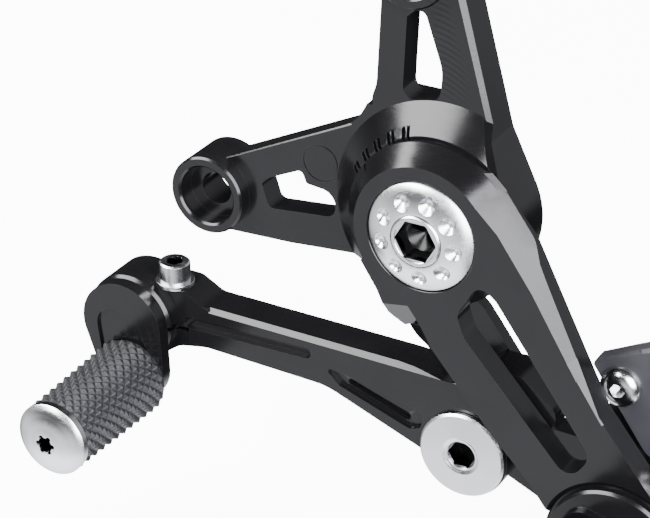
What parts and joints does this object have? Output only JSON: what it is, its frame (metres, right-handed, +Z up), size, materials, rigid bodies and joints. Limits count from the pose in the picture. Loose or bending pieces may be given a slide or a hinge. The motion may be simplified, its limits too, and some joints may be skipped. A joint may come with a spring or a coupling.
{
  "type": "motorcycle rearset",
  "caption": "Adjustable left-hand rearset: frame plate, indexed hanger arm, knurled foot peg, heel guard and shift lever with an adjustable toe peg.",
  "frame": {"origin": "axis of the front frame bolt hole, on the base plate's inboard face", "axes": "+X rearward along the motorcycle, +Y inboard towards the frame, +Z up"},
  "size_m": [0.2382, 0.1203, 0.1992],
  "materials": {
    "black_anodised": "machined and black anodised, satin",
    "knurled_alloy": "diamond knurled and black anodised, matt",
    "stainless": "turned stainless steel, bright",
    "steel": "plain steel, oiled",
    "bronze": "sintered bronze",
    "seal_rubber": "matt"
  },
  "bodies": {
    "bracket": {"base_plate": "black_anodised", "hub_nut": "steel"},
    "adjuster": {"adjuster_arm": "black_anodised", "hub_washer": "stainless", "hub_screw": "stainless", "carrier_plate": "black_anodised", "carrier_screws": "steel", "carrier_dowels": "steel", "heel_guard": "black_anodised", "guard_screws": "stainless", "foot_peg_mount": "black_anodised", "foot_peg_sleeve": "knurled_alloy", "foot_peg_bolt": "stainless", "pivot_bolt": "stainless", "pivot_sleeve": "steel"},
    "lever": {"shift_lever": "black_anodised", "pivot_bushes": "bronze", "pivot_seals": "seal_rubber", "clamp_screw": "stainless", "clamp_washer": "stainless"},
    "toe_peg": {"toe_link": "black_anodised", "toe_circlip": "steel", "toe_peg_sleeve": "knurled_alloy", "toe_peg_bolt": "stainless"}
  },
  "joints": [
    {"name": "arm_adjust", "type": "hinge", "parent": "bracket", "child": "adjuster", "pos_m": [0.079, -0.0145, 0.0105], "axis": [0, 1, 0], "range_deg": [-11, 11]},
    {"name": "shift_pivot", "type": "hinge", "parent": "adjuster", "child": "lever", "pos_m": [0.0903, -0.0115, -0.0644], "axis": [0, -1, 0], "range_deg": [-3.5, 6]},
    {"name": "toe_adjust", "type": "hinge", "parent": "lever", "child": "toe_peg", "pos_m": [-0.0278, -0.013, -0.0492], "axis": [0, 1, 0], "range_deg": [-90, 90]}
  ]
}
